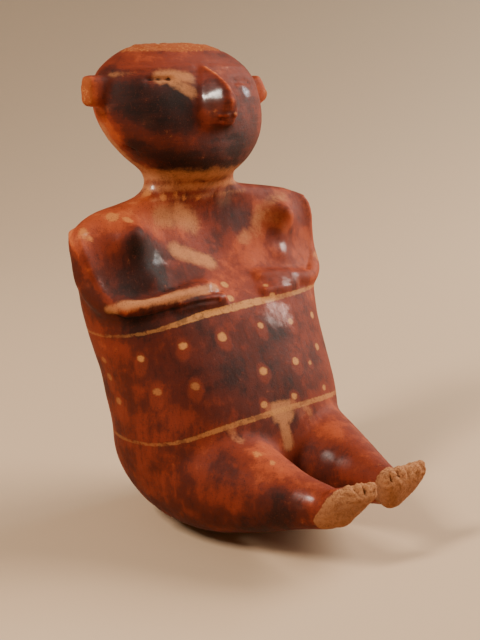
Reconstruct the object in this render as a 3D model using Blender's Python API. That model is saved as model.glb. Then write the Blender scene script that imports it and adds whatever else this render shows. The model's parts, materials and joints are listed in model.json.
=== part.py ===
"""Seated figurine of burnished clay: one closed solid that leans back on its rounded seat, legs raised.

Metres, +Z up. The figure faces -Y, its own left is +X, and the origin is the middle of the small flat
spot that it rests on. The proportions are millimetres of the figure at DRAWN_HEIGHT, and HEIGHT sets
its real height.
"""

import math

import bmesh
import bpy
import numpy as np
from mathutils import Matrix, Vector

HEIGHT = 0.280
DRAWN_HEIGHT = 280.0
MM = HEIGHT / DRAWN_HEIGHT

# How finely the clay is worked, in drawn millimetres and smoothing passes.
ROUGH_VOXEL = 2.0
ROUGH_PASSES = 12
FINE_VOXEL = 1.2
FINE_PASSES = 3
TRIANGLES = 9600
REST_CUT = 0.8
RING_POINTS = 72
LIMB_POINTS = 32

CLAY_RED = (0.34, 0.075, 0.03, 1.0)

# Each row of the trunk or the head is one level cut:
# height, half width, front, back, where it is widest, squareness, wrap.
# Front, back and widest are distances behind the middle of the rest spot, so the front's are negative.
# Wrap is how far the cut's sides come forward of its middle, as the shoulders do.
TRUNK = (
    (0.0, 22.0, -21.0, 22.0, 0.0, 2.0, 0.0),
    (2.0, 33.0, -33.0, 30.0, -2.0, 2.1, 0.0),
    (8.0, 47.0, -46.0, 37.0, -5.0, 2.2, 0.0),
    (18.0, 58.0, -54.0, 41.0, -8.0, 2.3, 0.0),
    (32.0, 67.0, -58.0, 45.0, -8.0, 2.4, 0.0),
    (48.0, 72.0, -60.0, 46.0, -7.0, 2.5, 0.0),
    (66.0, 73.0, -58.0, 46.0, -5.0, 2.5, 0.0),
    (88.0, 75.0, -50.0, 49.0, 4.0, 2.5, 0.0),
    (110.0, 79.0, -38.0, 50.0, 12.0, 2.4, 0.0),
    (132.0, 84.0, -24.0, 50.0, 17.0, 2.4, 0.0),
    (150.0, 86.5, -5.0, 49.0, 20.0, 2.4, 4.0),
    (165.0, 88.5, 8.0, 46.0, 21.0, 2.3, 7.0),
    (176.0, 90.0, 14.0, 45.0, 24.0, 2.2, 8.0),
    (183.0, 87.5, 16.0, 44.0, 26.0, 2.1, 6.0),
    (188.0, 76.0, 15.0, 43.0, 27.0, 2.0, 4.0),
    (191.5, 53.0, 14.0, 42.0, 27.0, 2.0, 2.0),
    (194.0, 39.5, 12.5, 42.0, 27.0, 2.0, 1.0),
    (197.0, 34.0, 11.0, 42.0, 27.0, 2.0, 0.0),
    (201.0, 32.0, 10.0, 43.0, 27.0, 2.0, 0.0),
    (208.0, 34.0, 9.0, 46.0, 28.0, 2.0, 0.0),
)
# The figure's left shoulder sits higher than its right one, by this share of the way across, and both
# lie this far over to its right.
SHOULDER_TILT = 0.035
SHOULDER_SHIFT = 2.5
TILT_BEGINS, TILT_FULL, TILT_FADES, TILT_ENDS = 135.0, 172.0, 193.0, 205.0

HEAD = (
    (200.0, 20.0, 12.0, 42.0, 27.0, 2.0, 0.0),
    (203.0, 25.0, 4.0, 45.0, 27.0, 2.0, 0.0),
    (208.0, 33.5, -1.0, 49.0, 29.0, 2.0, 0.0),
    (216.0, 43.0, -4.0, 54.0, 31.0, 2.1, 0.0),
    (227.0, 53.0, -3.0, 59.0, 33.0, 2.2, 0.0),
    (240.0, 58.0, 0.0, 63.0, 37.0, 2.2, 0.0),
    (252.0, 58.5, 5.0, 65.0, 40.0, 2.2, 0.0),
    (262.0, 55.0, 11.0, 65.0, 41.0, 2.2, 0.0),
    (270.0, 47.0, 17.5, 62.5, 41.5, 2.1, 0.0),
    (276.0, 35.5, 24.0, 60.0, 43.0, 2.1, 0.0),
    (280.0, 23.5, 32.0, 56.0, 44.5, 2.0, 0.0),
)

# The left arm lies along the trunk. Each row: turn round the trunk from the front in degrees, height,
# half breadth, thickness standing proud.
UPPER_ARM = (
    (92.0, 184.0, 7.0, 0.5),
    (92.0, 176.0, 8.0, 2.0),
    (89.0, 166.0, 8.5, 3.0),
    (84.0, 155.0, 8.5, 4.5),
    (77.0, 145.5, 8.0, 6.0),
    (67.0, 139.5, 7.5, 6.5),
    (56.0, 138.0, 6.0, 5.0),
)
FOREARM = (
    (76.0, 146.0, 5.5, 4.5),
    (70.0, 141.0, 6.0, 6.5),
    (60.0, 138.0, 6.0, 7.0),
    (48.0, 137.0, 5.5, 6.5),
    (34.0, 138.5, 5.0, 6.0),
    (19.0, 142.0, 4.5, 6.0),
    (9.0, 143.5, 4.0, 5.0),
)
LOWER_FINGERS = (
    (30.0, 136.5, 4.0, 4.5),
    (18.0, 136.5, 4.5, 5.5),
    (7.0, 136.0, 4.0, 5.0),
)

# How proud the left forearm and fingers stand, as a share of the right ones.
LEFT_HAND_EASE = 0.72

# Left leg: x, y, z of its middle and its radius.
LEG = (
    (35.0, -10.0, 40.0, 34.0),
    (35.0, -38.0, 38.0, 32.0),
    (32.0, -64.0, 37.0, 25.5),
    (29.0, -88.0, 37.0, 18.0),
    (25.0, -106.0, 37.5, 13.0),
    (23.0, -118.0, 38.0, 10.5),
)

# Both feet are upright paddles: heel, inner end and outer end of the row of toes. The right foot's
# sole is turned inwards further than the left one's.
LEFT_FOOT = ((17.0, -121.0, 36.0), (9.5, -125.5, 48.5), (33.0, -126.5, 48.5))
RIGHT_FOOT = ((-22.0, -119.0, 36.0), (-8.5, -127.5, 47.0), (-28.0, -118.5, 45.5))
HEEL_RADIUS = 7.5
SOLE_RADIUS = 6.5
SOLE_BULGE = 3.0
TOE_RADIUS = 5.2
TOE_TIP_RADIUS = 4.2
TOE_LENGTH = 3.0
TOES = 4

BREAST_BASE = (55.0, 22.0, 149.0)
BREAST_TIP = (59.0, 0.0, 177.0)
BREAST_RADIUS = 31.0
BREAST_FLARE = 1.0
BREAST_TALLNESS = 1.05
TIP_RADIUS = 2.6
NIPPLE_RADIUS = 2.1
NIPPLE_ROOT = (0.0, 5.0, -2.0)
NIPPLE_ROOT_RADIUS = 3.9

# The nose is a blunt wedge stretched over balls, its flanks leaning in to the ridge: middle and radius of
# each, those off the middle on both sides.
NOSE_BALLS = (
    ((0.0, 14.0, 264.5), 3.0),
    ((0.0, 3.8, 260.5), 3.0),
    ((0.0, -6.0, 255.0), 3.0),
    ((2.4, -8.8, 248.0), 2.8),
    ((3.8, -7.4, 241.0), 2.8),
    ((3.0, 9.0, 258.0), 3.0),
    ((6.3, 3.0, 248.5), 4.4),
    ((9.2, 4.5, 239.0), 4.2),
    ((3.2, -6.5, 236.5), 2.8),
)

EAR_MIDDLE = (59.0, 36.0, 254.0)
EAR_SIZE = (20.0, 11.0, 17.5)
EAR_ROUNDING = 2.5
# The left ear's outer face leans in towards the top, in degrees, and sits this much lower.
LEFT_EAR_LEAN = 28.0
LEFT_EAR_DROP = 4.5

# The inner and outer end of each eye slit; the left one sits a little lower.
RIGHT_EYE = ((-25.0, 14.0, 259.0), (-40.0, 17.5, 259.0))
LEFT_EYE = ((22.0, 13.0, 256.5), (36.5, 15.5, 256.0))
EYE_HALF_WIDTH = 1.9
EYE_DEPTH = 2.6


def curve_through(rows, steps):
    """The rows joined by a smooth curve, with steps points to each stretch."""
    rows = np.array(rows, float)
    padded = np.vstack([2 * rows[0] - rows[1], rows, 2 * rows[-1] - rows[-2]])
    points = []
    for i in range(len(rows) - 1):
        a, b, c, d = padded[i : i + 4]
        for t in np.arange(steps) / steps:
            points.append(
                0.5 * (2 * b + (c - a) * t + (2 * a - 5 * b + 4 * c - d) * t**2 + (3 * b - a - 3 * c + d) * t**3)
            )
    return np.array(points + [rows[-1]])


def signed_power(value, power):
    return np.sign(value) * np.abs(value) ** power


def level_point(row, turn):
    """The point of a level cut at a turn from the front, in degrees; 90 is the figure's left."""
    height, half_width, front, back, widest, squareness, wrap = row
    turn = np.radians(turn)
    x = half_width * signed_power(np.sin(turn), 2 / squareness)
    forward = signed_power(np.cos(turn), 2 / squareness)
    depth = np.where(forward > 0, widest - front, back - widest)
    y = widest - forward * depth - wrap * (x / half_width) ** 2
    uneven = np.interp(height, (TILT_BEGINS, TILT_FULL, TILT_FADES, TILT_ENDS), (0, 1, 1, 0))
    return np.stack([x - SHOULDER_SHIFT * uneven, y, height + SHOULDER_TILT * uneven * x], -1)


def row_at(rows, height):
    """The level cut of a profile at any height."""
    rows = curve_through(rows, 8)
    return np.array([np.interp(height, rows[:, 0], rows[:, i]) for i in range(rows.shape[1])])


def mesh_object(name, points, faces):
    mesh = bpy.data.meshes.new(name)
    mesh.from_pydata([tuple(p) for p in np.asarray(points) * MM], [], faces)
    form = bpy.data.objects.new(name, mesh)
    bpy.context.scene.collection.objects.link(form)
    shell = bmesh.new()
    shell.from_mesh(mesh)
    bmesh.ops.recalc_face_normals(shell, faces=shell.faces)
    shell.to_mesh(mesh)
    shell.free()
    return form


def skin(name, rings):
    """A closed form through rings of points."""
    rings = np.asarray(rings)
    levels, around, _ = rings.shape
    faces = []
    for i in range(levels - 1):
        for j in range(around):
            k = (j + 1) % around
            faces.append((i * around + j, i * around + k, (i + 1) * around + k, (i + 1) * around + j))
    faces.append(tuple(range(around)))
    faces.append(tuple(range((levels - 1) * around, levels * around)))
    return mesh_object(name, rings.reshape(-1, 3), faces)


def level_loft(name, rows):
    """A body through level cuts."""
    turns = np.linspace(0, 360, RING_POINTS, endpoint=False)
    return skin(name, [level_point(row, turns) for row in curve_through(rows, 5)])


def limb(name, path, across, along):
    """A tube along path; across and along are its half breadths in the two directions of each ring."""
    turns = np.linspace(0, 2 * math.pi, LIMB_POINTS, endpoint=False)
    rings = []
    for middle, one, other in zip(path, across, along):
        rings.append([middle + math.cos(t) * one + math.sin(t) * other for t in turns])
    return skin(name, rings)


def leg(side):
    rows = curve_through(LEG, 5)
    path = rows[:, :3] * (side, 1, 1)
    heading = np.gradient(path, axis=0)
    heading /= np.linalg.norm(heading, axis=1)[:, None]
    sideways = np.cross(heading, (0, 0, 1))
    sideways /= np.linalg.norm(sideways, axis=1)[:, None]
    upward = np.cross(sideways, heading)
    radius = rows[:, 3:4]
    return limb("leg", path, sideways * radius, upward * radius)


def ridge(side, rows, ease=1.0):
    """An arm or a finger that lies on the trunk; ease is a share of how proud its rows say."""
    rows = curve_through(rows, 5)
    path, outward = [], []
    for turn, height, breadth, proud in rows:
        here = level_point(row_at(TRUNK, height), side * turn)
        near = level_point(row_at(TRUNK, height), side * (turn - 2.0))
        above = level_point(row_at(TRUNK, height + 3.0), side * turn)
        away = side * np.cross(here - near, above - here)
        path.append(here)
        outward.append(away / np.linalg.norm(away) * proud * ease)
    path, outward = np.array(path), np.array(outward)
    across = np.cross(np.gradient(path, axis=0), outward)
    across *= (rows[:, 2] / np.linalg.norm(across, axis=1))[:, None]
    return limb("ridge", path, across, outward)


def breast(side):
    """A pointed cone with flaring flanks, its underside longer than its top."""
    base = np.array(BREAST_BASE) * (side, 1, 1)
    tip = np.array(BREAST_TIP) * (side, 1, 1)
    share = np.linspace(0, 1, 12)
    radius = BREAST_RADIUS * (1 - share) ** BREAST_FLARE + TIP_RADIUS
    path = base + np.outer(share, tip - base)
    return limb("breast", path, np.outer(radius, (1, 0, 0)), np.outer(radius, (0, 0, BREAST_TALLNESS)))


def nipple(side):
    tip = np.array(BREAST_TIP) * (side, 1, 1)
    return hull("nipple", ball_points(tip, NIPPLE_RADIUS) + ball_points(tip + NIPPLE_ROOT, NIPPLE_ROOT_RADIUS))


def hull(name, points):
    form = bpy.data.objects.new(name, bpy.data.meshes.new(name))
    bpy.context.scene.collection.objects.link(form)
    shell = bmesh.new()
    for point in points:
        shell.verts.new(Vector(point) * MM)
    wrapped = bmesh.ops.convex_hull(shell, input=shell.verts)
    inside = {v for v in wrapped["geom_interior"] + wrapped["geom_unused"] if isinstance(v, bmesh.types.BMVert)}
    bmesh.ops.delete(shell, geom=list(inside), context="VERTS")
    bmesh.ops.recalc_face_normals(shell, faces=shell.faces)
    shell.to_mesh(form.data)
    shell.free()
    return form


def ball_points(middle, radius):
    turns = np.linspace(0, 2 * math.pi, 12, endpoint=False)
    tilts = np.linspace(-math.pi / 2, math.pi / 2, 7)
    points = []
    for tilt in tilts:
        for turn in turns:
            away = (math.cos(tilt) * math.cos(turn), math.cos(tilt) * math.sin(turn), math.sin(tilt))
            points.append(np.array(middle) + radius * np.array(away))
    return points


def foot(heel, inner, outer):
    heel, inner, outer = (np.array(p) for p in (heel, inner, outer))
    outwards = (outer - inner) / np.linalg.norm(outer - inner)
    side_of_sole = (heel + outer) / 2 + outwards * SOLE_BULGE
    paddle = ball_points(heel, HEEL_RADIUS) + ball_points(side_of_sole, SOLE_RADIUS)
    paddle += ball_points(inner, TOE_RADIUS) + ball_points(outer, TOE_RADIUS)
    forms = [hull("foot", paddle)]
    lift = (inner + outer) / 2 - heel
    lift /= np.linalg.norm(lift)
    for share in np.linspace(0.02, 0.98, TOES):
        root = inner + (outer - inner) * share
        tip = root + lift * TOE_LENGTH
        forms.append(hull("toe", ball_points(root, TOE_RADIUS) + ball_points(tip, TOE_TIP_RADIUS)))
    return forms


def nose():
    points = []
    for middle, radius in NOSE_BALLS:
        for side in (1, -1):
            points += ball_points(np.array(middle) * (side, 1, 1), radius)
    return hull("nose", points)


def ear(side):
    bpy.ops.mesh.primitive_cube_add(size=1.0)
    form = bpy.context.object
    form.name = "ear"
    form.data.transform(Matrix.Diagonal(Vector(EAR_SIZE) * MM).to_4x4())
    rounding = form.modifiers.new("worn corners", "BEVEL")
    rounding.width = EAR_ROUNDING * MM
    rounding.segments = 3
    apply_all(form)
    middle = Vector(EAR_MIDDLE)
    if side > 0:
        form.data.transform(Matrix.Rotation(-math.radians(LEFT_EAR_LEAN), 4, "Y"))
        middle.z -= LEFT_EAR_DROP
    form.data.transform(Matrix.Translation(middle * MM))
    if side < 0:
        form.data.transform(Matrix.Diagonal((-1, 1, 1, 1)))
        form.data.flip_normals()
    return form


def apply_all(form):
    with bpy.context.temp_override(object=form, active_object=form, selected_objects=[form]):
        for modifier in list(form.modifiers):
            bpy.ops.object.modifier_apply(modifier=modifier.name)


def worked(form, voxel, passes):
    """Remeshed into one skin and smoothed, as clay is wiped with a wet hand."""
    remesh = form.modifiers.new("one skin", "REMESH")
    remesh.mode = "VOXEL"
    remesh.voxel_size = voxel * MM
    smooth = form.modifiers.new("wiped smooth", "SMOOTH")
    smooth.iterations = passes
    smooth.factor = 0.5
    apply_all(form)
    return form


def pressed(form, start, end, half_width, depth):
    """A groove pressed into the clay with a tool, from start to end."""
    mesh = form.data
    points = np.empty(len(mesh.vertices) * 3)
    normals = np.empty(len(mesh.vertices) * 3)
    mesh.vertices.foreach_get("co", points)
    mesh.vertices.foreach_get("normal", normals)
    points, normals = points.reshape(-1, 3) / MM, normals.reshape(-1, 3)
    start, end = np.array(start), np.array(end)
    share = np.clip((points - start) @ (end - start) / ((end - start) @ (end - start)), 0, 1)
    gap = points - start - share[:, None] * (end - start)
    flat_gap = np.linalg.norm(gap - normals * (gap * normals).sum(1)[:, None], axis=1)
    near = np.linalg.norm(gap, axis=1) < 8 * half_width
    points -= normals * (depth * np.exp(-((flat_gap / half_width) ** 2)) * near)[:, None]
    mesh.vertices.foreach_set("co", (points * MM).ravel())
    mesh.update()


def joined(name, forms):
    with bpy.context.temp_override(
        object=forms[0], active_object=forms[0], selected_objects=forms, selected_editable_objects=forms
    ):
        bpy.ops.object.join()
    forms[0].name = name
    forms[0].data.name = name
    return forms[0]


def thinned(form, triangles):
    """Fewer faces, with the small ones left where the clay curves most."""
    form.data.calc_loop_triangles()
    thin = form.modifiers.new("thinned", "DECIMATE")
    thin.ratio = triangles / len(form.data.loop_triangles)
    apply_all(form)


def cut_flat(form, height):
    """The underside worn flat at a height, and the flat spot set down on z = 0."""
    shell = bmesh.new()
    shell.from_mesh(form.data)
    everything = shell.verts[:] + shell.edges[:] + shell.faces[:]
    plane = Vector((0, 0, height * MM))
    cut = bmesh.ops.bisect_plane(
        shell, geom=everything, plane_co=plane, plane_no=(0, 0, 1), clear_inner=True, dist=1e-6
    )
    rim = [e for e in cut["geom_cut"] if isinstance(e, bmesh.types.BMEdge)]
    bmesh.ops.contextual_create(shell, geom=rim)
    bmesh.ops.translate(shell, verts=shell.verts, vec=-plane)
    bmesh.ops.recalc_face_normals(shell, faces=shell.faces)
    shell.to_mesh(form.data)
    shell.free()


def burnished_clay():
    material = bpy.data.materials.new("burnished_clay")
    material.use_nodes = True
    shader = material.node_tree.nodes["Principled BSDF"]
    shader.inputs["Base Color"].default_value = CLAY_RED
    shader.inputs["Roughness"].default_value = 0.35
    return material


def main():
    for old in list(bpy.data.objects):
        bpy.data.objects.remove(old, do_unlink=True)
    body = [level_loft("trunk", TRUNK), level_loft("head", HEAD)]
    details = [nose()] + foot(*LEFT_FOOT) + foot(*RIGHT_FOOT)
    for side in (1, -1):
        body += [leg(side), breast(side), ridge(side, UPPER_ARM)]
        ease = LEFT_HAND_EASE if side > 0 else 1.0
        details += [ear(side), nipple(side), ridge(side, FOREARM, ease), ridge(side, LOWER_FINGERS, ease)]
    figure = worked(joined("body", body), ROUGH_VOXEL, ROUGH_PASSES)
    figure = worked(joined("seated_figurine", [figure] + details), FINE_VOXEL, FINE_PASSES)
    for inner, outer in (RIGHT_EYE, LEFT_EYE):
        pressed(figure, inner, outer, EYE_HALF_WIDTH, EYE_DEPTH)
    thinned(figure, TRIANGLES)
    cut_flat(figure, REST_CUT)
    figure.data.materials.clear()
    figure.data.materials.append(burnished_clay())
    figure.data.shade_smooth()


main()
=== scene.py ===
"""Looks of the seated clay figurine, modelled over its solid.

Metres, +Z up. The figure faces -Y and its own left is +X. Named sizes and places are millimetres of the
figure; a turn is the angle round the trunk from its front, in degrees, and is positive to its own left.
"""

import json
import math

import bpy
import numpy as np
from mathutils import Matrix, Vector, noise
from mathutils.bvhtree import BVHTree

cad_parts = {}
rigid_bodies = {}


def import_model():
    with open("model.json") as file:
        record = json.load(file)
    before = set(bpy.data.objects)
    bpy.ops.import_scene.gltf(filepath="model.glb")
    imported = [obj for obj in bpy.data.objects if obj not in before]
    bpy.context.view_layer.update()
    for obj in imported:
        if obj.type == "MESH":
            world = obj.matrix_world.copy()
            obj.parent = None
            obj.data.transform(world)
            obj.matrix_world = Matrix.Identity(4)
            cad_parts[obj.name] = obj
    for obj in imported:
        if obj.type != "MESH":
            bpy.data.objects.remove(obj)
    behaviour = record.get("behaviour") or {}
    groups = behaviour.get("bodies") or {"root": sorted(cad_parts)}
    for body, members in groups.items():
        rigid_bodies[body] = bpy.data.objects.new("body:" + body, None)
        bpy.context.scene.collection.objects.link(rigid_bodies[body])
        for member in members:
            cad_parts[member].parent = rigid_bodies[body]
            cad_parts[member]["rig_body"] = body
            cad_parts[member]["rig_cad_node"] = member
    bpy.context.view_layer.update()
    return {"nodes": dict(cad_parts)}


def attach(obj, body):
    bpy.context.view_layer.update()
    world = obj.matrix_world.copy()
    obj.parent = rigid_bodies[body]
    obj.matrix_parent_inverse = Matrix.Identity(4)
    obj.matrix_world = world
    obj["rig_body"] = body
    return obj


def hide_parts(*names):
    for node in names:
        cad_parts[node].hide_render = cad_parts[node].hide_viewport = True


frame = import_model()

MM = 0.001

# Camera

CAMERA_PLACE = (-0.4512, -0.5012, 0.2788)
CAMERA_AZIMUTH = -43.0
CAMERA_TILT = 13.5
CAMERA_LENS = 64.69

# Clay

CLAY_GRAIN = 1.6
DOUBLES = 0.01
WIPING_FORCE = 0.5
WIPING_PASSES = 7
HANDLING_WAVE = 26.0
HANDLING_DEPTH = 0.8
HANDLING_SEED = 1
EDGE_BLUR = 5

# Where the faces are cut finer

FEET_BACK = -111
FACE_HEIGHTS = (233, 269)
FACE_BACK = 28
FACE_HALF_WIDTH = 46
HANDS_HEIGHTS = (128, 145)
HANDS_BACK = -4
HANDS_HALF_WIDTH = 80

# Face

RIGHT_EYE_SLIT = ((-24, 14.6, 259.2), (-31.8, 16.6, 259.4), (-38, 18.8, 259))
RIGHT_LOWER_LID = ((-25.5, 15, 257.0), (-33.6, 17.2, 256.6), (-41, 19, 257.1))
LEFT_EYE_SLIT = ((20, 12, 256.8), (27.7, 14.2, 256.6), (35.7, 16.5, 255.2))
LEFT_LOWER_LID = ((22, 9, 254.4), (29, 12, 254.0), (36, 15, 253.4))
RIGHT_BROW = (
    (-52.9, 37.2, 263.4), (-44.4, 26, 265.1), (-34.5, 20.3, 265.6), (-19.5, 16.2, 266), (-8, 15, 266.4),
)
LEFT_BROW = ((8, 15, 266.4), (20, 16.5, 265.5), (34, 20.5, 264.5), (44, 27, 263.5))
NOSE_RIDGE = ((0, 12, 265.5), (0, 1.8, 262.5), (0, -7.5, 258), (0, -12.3, 251), (0, -12.6, 243))
NOSE_LIP = ((-6, -7, 239.2), (0, -12.4, 239.4), (6, -7, 239.2))
NOSE_FLANKS = (((-7.5, 4, 255), (-9, -1, 248)), ((7.5, 4, 255), (9, -1, 248)))
NOSTRILS = (((-4.6, -6.4, 236.6), (-3.6, -4.4, 236.4)), ((4.6, -6.4, 236.6), (3.6, -4.4, 236.4)))
JAW_SLIT = ((-48.7, 25.7, 221.7), (-45.8, 22.1, 219.5))

# Arms

ARM_CREST = (
    (-91.5, 22, 177.9), (-93.9, 17, 173.3), (-93.9, 11.7, 167.3), (-91.8, 8.3, 162), (-88.6, 5.8, 154.1),
    (-86.5, 2.5, 147), (-84.6, -2, 141.8), (-82.3, -6, 138.2), (-78, -9.2, 135.3),
)
FOREARM_CREST = (
    (-78.2, -9.6, 137.6), (-71.3, -13.3, 138.8), (-59.8, -16.5, 140.4), (-46.7, -18.2, 141.6),
    (-31.5, -17.7, 142.2), (-16.5, -13.7, 141.1),
)
FOREARM_UNDERSIDE = (
    (-83.8, -2.4, 135), (-76.1, -6.6, 131.1), (-69.9, -11.2, 131.5), (-59.4, -15.9, 133.4),
    (-47.9, -19.5, 135.1), (-35.9, -22.7, 136.7), (-23.4, -24.1, 136.7),
)
FINGER_GAP = ((-46.8, -19.1, 139.4), (-37.1, -19.9, 140.4), (-24.9, -18.8, 140.2), (-13, -15.9, 139.2))
LEFT_ARM_GROOVE = ((82, 3, 158), (76.8, 0.1, 147.2), (66, -9, 141.5))
BREASTBONE = ((-2, 10, 172), (0, 0, 156))
LEFT_FINGER_GAP = ((12, -19, 138.5), (26, -21, 138.5), (40, -20.5, 137.0))

# Breasts, eased into the chest: the middle of each, its tip and where it runs out below

BREASTS = (((-58, 4, 166), (-62, 3, 175), (-54, -4, 150)), ((57, 4, 166), (60, 2, 175), (50, -3, 152)))
BREAST_CORE = 15.0
BREAST_REACH = 32.0
BREAST_PASSES = 130
BREAST_RISE = 1.6
BREAST_SPREAD = 20.0
KEEL_BREADTH = 9.0
KEEL_RISE = 3.6
NIPPLE_RISE = 1.4
NIPPLE_BREADTH = 2.4

# Hands, flattened a little: the middle of each, where the wiping starts to fade and where it ends

HANDS = (((28, -20, 138), 8, 22), ((-28, -18, 138), 8, 24))
HAND_PASSES = 8

# Pressed marks: a path, how broad it is and how deep it goes in

PRESSED = (
    (RIGHT_EYE_SLIT, 1.1, 1.1),
    (LEFT_EYE_SLIT, 0.8, 0.3),
    (NOSTRILS[0], 1.6, 2.0),
    (NOSTRILS[1], 1.6, 2.0),
    (JAW_SLIT, 1.2, 1.8),
    (FOREARM_UNDERSIDE, 1.3, 1.1),
    (FINGER_GAP, 1.1, 0.5),
    (LEFT_ARM_GROOVE, 1.5, 0.9),
    (LEFT_FINGER_GAP, 1.1, 0.4),
    (BREASTBONE, 14.0, 1.8),
)

# Raised edges: a path, how broad it is and how far it stands up

RAISED = (
    (RIGHT_LOWER_LID, 1.3, 0.8),
    (LEFT_LOWER_LID, 1.3, 0.6),
    (RIGHT_BROW, 1.6, 0.55),
    (LEFT_BROW, 1.6, 0.4),
    (NOSE_RIDGE, 1.5, 0.5),
    (NOSE_LIP, 1.2, 0.8),
    (NOSE_FLANKS[0], 6.0, 0.4),
    (NOSE_FLANKS[1], 6.0, 0.4),
    (ARM_CREST, 2.4, 0.9),
    (FOREARM_CREST, 2.4, 0.6),
)

# Crests painted lighter, partly where the slip has rubbed thin and partly as painted light where light
# catches them: a path and how broad it is

RUBBED_AND_LIT_CRESTS = (
    (FOREARM_CREST, 4.0), (ARM_CREST, 2.2), (NOSE_RIDGE, 1.6), (RIGHT_LOWER_LID, 1.4),
    (LEFT_LOWER_LID, 1.2),
)

# Feet: the gaps between the toes, from the top of the sole downwards

TOE_GAPS = (
    ((7.5, -128, 53), (8.5, -131, 47)), ((14, -128, 54), (14.5, -132, 47.5)),
    ((21, -128, 54), (21, -133, 47.5)), ((-18.5, -124, 53), (-18, -129, 47.5)),
    ((-13.5, -125, 54), (-13.5, -131, 47.5)), ((-8.8, -126, 53), (-9, -131, 48)),
)
TOE_GAP_BREADTH = 1.1
TOE_GAP_DEPTH = 2.2

# Feet: how far forward the slip reaches; on the right ankle its edge slants

LEFT_SLIP_END = 112.5
RIGHT_SLIP_END = 115.5
SLANT = 0.5
SLANT_MIDDLE = 40.0
SLANT_LIMITS = (-3, 6)
SLIP_END_BLUR = 2.0

# Feet: how coarse the heels are beside the toes, and the heights between which that changes

HEEL_COARSENESS = 0.35
TOE_HEIGHTS = (40, 50)

# Worn crown, by height, and worn ears, by how far out they are

CROWN_WEAR = (272.5, 277.0)
EAR_WEAR = (66.0, 68.5)
EAR_BOTTOM = 235

# Coarse clay: the size of its lumps, their height and a seed

FOOT_GRAINS = ((4.5, 0.9, 3), (1.9, 0.7, 7))
CROWN_GRAIN = (6.0, 0.7, 11)
RIM_GRAIN = (2.4, 0.5, 13)
LEAST_WEIGHT = 0.01

# Painted lines: turn, height, half breadth and strength

TRUNK_AXIS = (0.0, 10.0)
UPPER_LINE = (
    (-180, 124, 1.4, 0.4), (-130, 121, 1.2, 0.4), (-92, 119, 0.8, 0.3), (-74, 121.5, 0.8, 0.3),
    (-66, 124.5, 1.0, 0.5), (-56, 128, 1.7, 0.9), (-45, 130, 2.0, 1.0), (-10, 131, 1.8, 1.0),
    (40, 131, 1.5, 0.9), (60, 131, 1.1, 0.7), (100, 128, 1.1, 0.5),
)
LOWER_LINE = (
    (-180, 62, 1.3, 0.3), (-92, 58, 1.0, 0.3), (-73, 59, 0.8, 0.25), (-58, 62, 0.9, 0.35),
    (-46, 68, 1.3, 0.5), (-33, 72, 1.4, 0.6), (-7, 74, 1.5, 0.75), (27, 73, 1.4, 0.7), (50, 69, 1.2, 0.6),
    (75, 62, 1.1, 0.5),
)
CORNER_TURNS = (-9, -5, 0, 5, 9)

# Painted dots that the photograph shows: turn, height, radius and strength

BELLY_DOTS = (
    (-72, 109, 2.4, 0.9), (-55, 115, 2.8, 1.0), (-33, 117, 2.8, 1.0), (3, 119, 2.7, 1.0),
    (34, 117, 2.6, 1.0), (56, 116, 2.5, 1.0), (45, 99, 2.6, 0.9), (20, 96.5, 2.7, 1.0), (-8, 96, 2.8, 1.0),
    (31, 93, 1.6, 0.8), (-48, 94, 2.6, 0.45), (-64, 91, 2.6, 0.45), (9, 79, 2.4, 1.0), (34, 77, 2.2, 0.8),
    (-13, 79, 2.4, 1.0), (-92, 104, 2.4, 0.35), (-91, 94, 2.4, 0.35), (-86, 80.5, 2.6, 0.4),
)
HAND_DOTS = ((-8, -13, 142), (-10.5, -20, 135), (19, -20, 140), (21, -23, 132))
HAND_DOT_RADIUS = 2.6
HAND_DOT_STRENGTH = 1.0
DOT_FLATNESS = 1.25
GHOST_DROP = 1.1
GHOST_FLATNESS = 0.55

# Dots round the back, in two rows: height, how far it wanders and strength

HIDDEN_TURNS = range(82, 262, 26)
HIDDEN_UPPER = (112, 2.5, 0.75)
HIDDEN_LOWER = (92, 3.0, 0.6)
HIDDEN_SHIFT = 13
HIDDEN_RADIUS = 2.5

# The gap kept where no painted mark is near

FAR = 9.0

# How the slip fired, as x, y, z, reach and tone: 0 is black, 0.3 wine red, 0.6 brick red and 1 orange. A
# few spots are lightened as painted light, on parts that lie in shade.

HEAD_TONES = (
    (0, 20, 274, 18, 0.52), (-34, 27, 272, 16, 0.56), (34, 26, 271, 18, 0.5), (-54, 30, 258, 8, 0.2),
    (-53, 24, 250, 8, 0.1), (-45, 17, 252, 9, 0.08), (-33, 10, 248, 9, 0.06), (-22, 6, 247, 6, 0.04),
    (-21, 3, 241, 5, 0.03), (-21, 1, 235, 5, 0.06), (-49, 16, 243, 7, 0.12), (-40, 9, 240, 8, 0.06),
    (-28, 4, 239, 7, 0.04), (-36, 6, 234, 6, 0.1), (-26, 2, 232, 5, 0.08), (-15, 4, 248, 4, 0.5),
    (-15, 2, 241, 4, 0.52), (-16, 0, 234, 4, 0.52), (-54, 22, 236, 6, 0.5), (-47, 14, 230, 5, 0.5),
    (-38, 7, 226, 5, 0.5), (-28, 2, 225, 5, 0.5), (-19, -1, 227, 5, 0.5), (-46, 17, 221, 6, 0.1),
    (-37, 10, 218, 7, 0.08), (-28, 5, 214, 8, 0.08), (-12, -2, 213, 9, 0.1), (-16, -3, 219, 6, 0.2),
    (4, -4, 220, 11, 0.24), (22, -1, 224, 12, 0.26), (27, 3, 236, 11, 0.36), (26, 6, 246, 9, 0.42),
    (-8, -2, 249, 5, 0.24), (-7, 4, 256, 5, 0.32), (-6, -6, 242, 5, 0.26), (6, -4, 246, 6, 0.42),
    (44, 16, 240, 12, 0.5), (-55, 37, 230, 8, 0.9), (-66, 36, 254, 9, 0.72), (66, 36, 254, 9, 0.7),
    (0, 62, 245, 30, 0.5), (-40, 55, 225, 18, 0.7), (30, 58, 215, 20, 0.35),
)
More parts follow.
